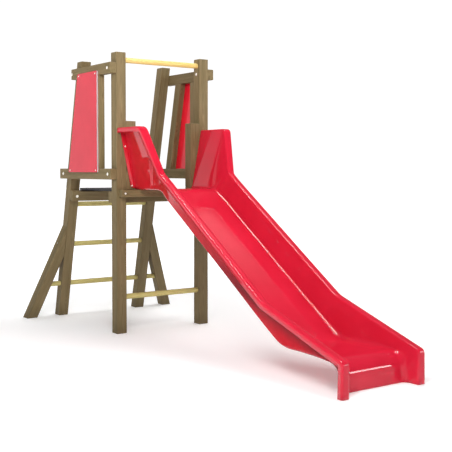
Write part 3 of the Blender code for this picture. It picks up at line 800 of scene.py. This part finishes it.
def make_slide():
    """The whole moulding: an even shell whose outer side has its own material."""
    lines = bed_path(), rim_path(0.0, RIM_REACHES), rim_path(LIP, LIP_REACHES)
    rows = [section(*points) for points in zip(*lines)]
    rows = back_flange(rows[0]) + rows[1:]
    mesh = bmesh.new()
    grid = []
    for row in rows:
        whole = [Vector((-p.x, p.y, p.z)) for p in row[:0:-1]] + row
        grid.append([mesh.verts.new((p.x, front_y + p.y, p.z)) for p in whole])
    for near, far in zip(grid, grid[1:]):
        for index in range(len(near) - 1):
            mesh.faces.new((near[index], far[index], far[index + 1], near[index + 1]))
    made = piece("slide_moulding", mesh, red_gloss(), "red_moulding", "slide")
    made.data.shade_smooth()
    made.data.materials.append(red_back())
    thicken = made.modifiers.new("shell", "SOLIDIFY")
    thicken.thickness = SHELL
    thicken.offset = -1.0
    thicken.use_even_offset = True
    thicken.material_offset = 1


make_slide()


# ---------------------------------------------------------------- floor and light
def make_floor():
    """A plain pale floor with a weak glow of its own, which grows to white far away."""
    mesh = bmesh.new()
    bmesh.ops.create_grid(mesh, x_segments=1, y_segments=1, size=FLOOR_HALF)
    data = bpy.data.meshes.new("floor")
    mesh.to_mesh(data)
    mesh.free()
    look = Shade("pale_floor")
    away = look.node("VectorMath", {0: look.spot}, operation="LENGTH").outputs["Value"]
    look.set(Base_Color=(FLOOR_TONE, FLOOR_TONE, FLOOR_TONE, 1.0), Roughness=0.9)
    look.set(Specular_IOR_Level=0.0, Emission_Color=WHITE)
    look.set(Emission_Strength=look.between(away, *GLOW_REACH, FLOOR_GLOW, 1.0))
    data.materials.append(look.material)
    made = bpy.data.objects.new("floor", data)
    made.location = (0.0, 0.0, cad_bounds[0][2] - FLOOR_DROP)
    bpy.context.scene.collection.objects.link(made)


def studio():
    """The surroundings that the gloss mirrors: white walls and a softbox in a darker ceiling."""
    made = bpy.data.worlds.new("studio")
    made.use_nodes = True
    sky = Nodes(made.node_tree)
    axes = sky.axes(sky.node("TexCoord").outputs["Generated"])
    lift = sky.math("MAXIMUM", axes["Z"], LEAST_HEIGHT)
    u = sky.math("DIVIDE", axes["X"], lift)
    v = sky.math("DIVIDE", axes["Y"], lift)
    parts = [sky.math("MULTIPLY", place, share) for place, share in zip((u, v), BOX_SLANT)]
    slant = sky.math("ADD", *parts)

    def band(value, rise, fall):
        """1 between two soft edges and 0 beyond them."""
        return sky.math("MULTIPLY", sky.between(value, *rise), sky.between(value, *fall, 1.0, 0.0))

    box = sky.math("MULTIPLY", band(v, BOX_NEAR, BOX_FAR), band(slant, BOX_LEFT, BOX_RIGHT))
    box = sky.math("MULTIPLY", box, sky.between(axes["Z"], *BOX_FOOT))
    total = sky.between(axes["Z"], *CEILING_EDGE, WALL_LIGHT, CEILING_LIGHT)
    total = sky.math("ADD", total, sky.math("MULTIPLY", box, BOX_LIGHT))
    background = made.node_tree.nodes["Background"].inputs
    sky.put(background["Color"], WHITE)
    sky.put(background["Strength"], total)
    return made


def light(name, place, target, width, height, watts):
    """A rectangular light that the camera doesn't see."""
    data = bpy.data.lights.new(name, "AREA")
    data.shape = "RECTANGLE"
    data.size = width
    data.size_y = height
    data.energy = watts
    made = bpy.data.objects.new(name, data)
    made.location = place
    made.rotation_euler = (Vector(target) - Vector(place)).to_track_quat("-Z", "Y").to_euler()
    made.visible_camera = False
    bpy.context.scene.collection.objects.link(made)
    return made


def soft_light(name, place, target, size, watts):
    """A large light that shades without showing in the gloss."""
    light(name, place, target, size, size, watts).visible_glossy = False


def mirrored_strip(name, place, target, width, height, radiance):
    """A light strip that only shows in the gloss."""
    watts = radiance * math.pi * width * height
    light(name, place, target, width, height, watts).visible_diffuse = False


make_floor()
bpy.context.scene.world = studio()
soft_light("overhead", place=(2.0, front_y + 0.2, 8.0), target=(0.2, front_y - 1.5, 0.0), size=5.0,
           watts=OVERHEAD_WATTS)
soft_light("front", place=(-2.6, front_y - 3.8, 3.8), target=(0.0, front_y + 0.2, 1.7), size=2.0,
           watts=FRONT_WATTS)
soft_light("left", place=(-6.0, front_y - 1.5, 3.4), target=(0.0, front_y - 0.5, 1.2), size=3.0,
           watts=LEFT_WATTS)
chute = Vector((0.0, front_y - 1.3, 0.9))
above = chute + STRIP_DISTANCE * Vector(STRIP_DIRECTION)
below = (above.x, above.y, 0.0)
mirrored_strip("overhead_strip", above, below, width=2.2, height=5.6, radiance=STRIP_LIGHT)
nose = Vector((0.0, front_y - 2.75, 0.15))
beyond = nose + NOSE_STRIP_DISTANCE * Vector(NOSE_STRIP_DIRECTION)
mirrored_strip("low_strip", beyond, nose, width=5.0, height=1.3, radiance=NOSE_LIGHT)
bpy.context.scene.view_settings.view_transform = "Standard"


# ---------------------------------------------------------------- camera
def make_camera():
    """The pinhole camera that was fitted to the photograph."""
    data = bpy.data.cameras.new("camera")
    data.sensor_width = SENSOR
    data.lens = SENSOR * FOCAL / IMAGE
    data.shift_x = (IMAGE / 2 - CENTRE[0]) / IMAGE
    data.shift_y = (CENTRE[1] - IMAGE / 2) / IMAGE
    made = bpy.data.objects.new("camera", data)
    yaw, pitch, roll = (math.radians(angle) for angle in CAMERA_ANGLES)
    along = math.cos(pitch)
    ahead = Vector((math.sin(yaw) * along, math.cos(yaw) * along, -math.sin(pitch)))
    level = Vector((math.cos(yaw), -math.sin(yaw), 0.0))
    upward = level.cross(ahead)
    right = level * math.cos(roll) + upward * math.sin(roll)
    upward = upward * math.cos(roll) - level * math.sin(roll)
    turn = Matrix((right, upward, -ahead)).transposed().to_4x4()
    x, y, z = CAMERA_PLACE
    made.matrix_world = Matrix.Translation((x, front_y + y, z)) @ turn
    bpy.context.scene.collection.objects.link(made)
    bpy.context.scene.camera = made


make_camera()
